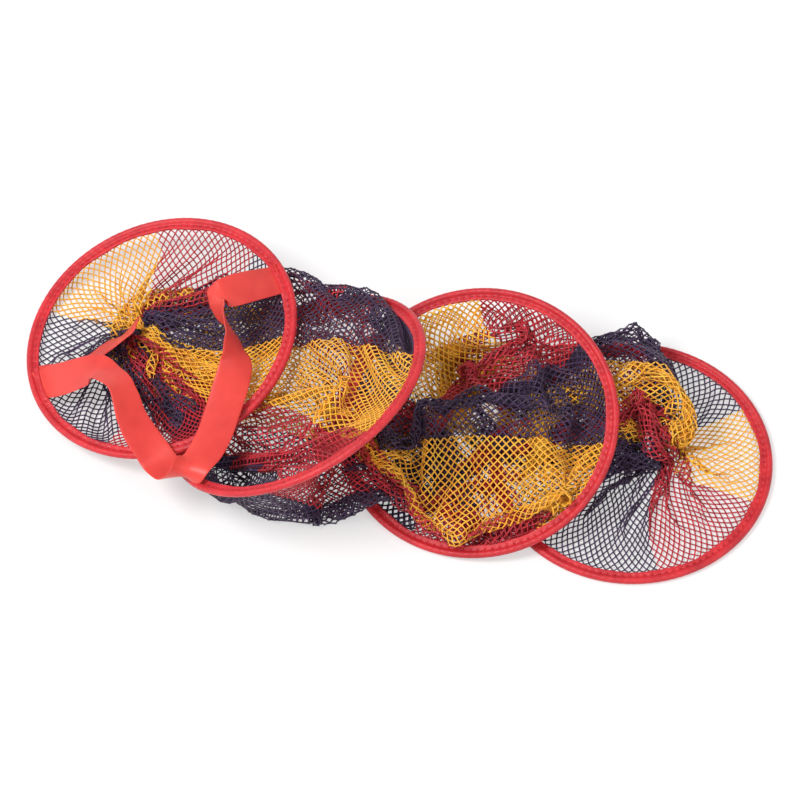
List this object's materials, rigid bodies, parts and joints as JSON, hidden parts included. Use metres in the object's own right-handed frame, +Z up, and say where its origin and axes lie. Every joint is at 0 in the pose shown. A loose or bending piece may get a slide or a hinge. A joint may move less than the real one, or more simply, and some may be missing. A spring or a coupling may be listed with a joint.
{
  "type": "collapsible net tube",
  "caption": "Soft striped net tube on equal tape-bound spring-steel hoops, lying slumped, with a webbing strap folded across its mouth.",
  "frame": {"origin": "on the floor, under the middle of the whole object", "axes": "+Z up from the floor, +X along the tube from the mouth hoop to the base hoop"},
  "size_m": [0.5287, 0.288, 0.1099],
  "materials": {
    "spring_steel": "satin",
    "binding_tape": "matte",
    "webbing": "matte",
    "net_yarn": "matte"
  },
  "bodies": {
    "base_hoop": {"base_hoop_strip": "spring_steel", "base_hoop_ferrule": "spring_steel", "base_hoop_binding": "binding_tape"},
    "lower_hoop": {"lower_hoop_strip": "spring_steel", "lower_hoop_ferrule": "spring_steel", "lower_hoop_binding": "binding_tape", "lower_net": "net_yarn"},
    "upper_hoop": {"upper_hoop_strip": "spring_steel", "upper_hoop_ferrule": "spring_steel", "upper_hoop_binding": "binding_tape", "middle_net": "net_yarn"},
    "mouth_hoop": {"mouth_hoop_strip": "spring_steel", "mouth_hoop_ferrule": "spring_steel", "mouth_hoop_binding": "binding_tape", "mouth_net": "net_yarn", "inner_strap": "webbing", "strap_end_left": "webbing", "strap_end_right": "webbing"},
    "strap": {"carry_strap": "webbing"}
  },
  "joints": [
    {"name": "lower_pull", "type": "slide", "parent": "base_hoop", "child": "lower_hoop", "axis": [-1, 0, 0], "range_m": [0, 0.07], "deforming": ["lower_net"]},
    {"name": "upper_pull", "type": "slide", "parent": "lower_hoop", "child": "upper_hoop", "axis": [-1, 0, 0], "range_m": [0, 0.07], "deforming": ["middle_net"]},
    {"name": "mouth_pull", "type": "slide", "parent": "upper_hoop", "child": "mouth_hoop", "axis": [-1, 0, 0], "range_m": [0, 0.07], "deforming": ["mouth_net"]},
    {"name": "strap_swing", "type": "hinge", "parent": "mouth_hoop", "child": "strap", "pos_m": [-0.16917, 0.04735, 0.02974], "axis": [-0.9116, -0.3256, -0.2511], "range_deg": [0, 70], "deforming": ["carry_strap"]}
  ]
}
